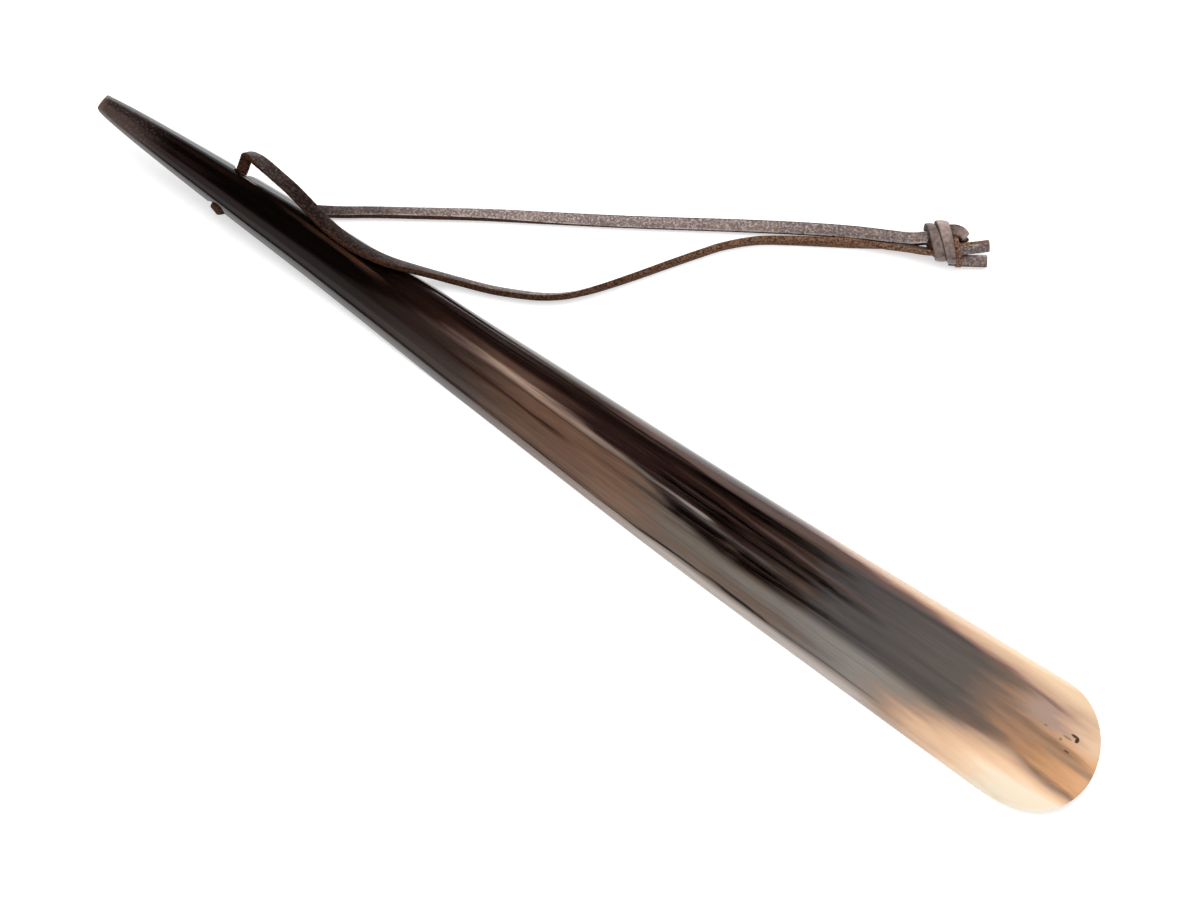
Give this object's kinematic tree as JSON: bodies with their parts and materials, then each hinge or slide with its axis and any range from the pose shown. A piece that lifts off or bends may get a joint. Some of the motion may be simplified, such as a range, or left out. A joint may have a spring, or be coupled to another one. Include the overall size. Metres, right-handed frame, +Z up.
{
  "type": "shoehorn",
  "caption": "Long natural horn shoehorn with a solid dark handle, hollow blade, pale rounded lip and a flat leather lace loop knotted through its cross bore",
  "frame": {"origin": "on the table, below the middle of the horn's own box (the lace loop is left out)", "axes": "+X runs from the handle's tip to the lip, +Y to the side the lace loop lies on, +Z up from the hollow to the crown"},
  "size_m": [0.35, 0.1362, 0.0188],
  "materials": {
    "horn": "polished natural horn, near black at the handle, brown streaks on the blade, cream at the lip",
    "leather": "flat dark brown lace, smooth worn grain face with raw lighter brown cut edges"
  },
  "bodies": {
    "root": {"horn_blade": "horn", "lace_in_bore": "leather", "lace_front_leg": "leather", "lace_back_leg": "leather", "lace_knot": "leather", "lace_far_tail": "leather", "lace_near_tail": "leather"}
  },
  "joints": []
}
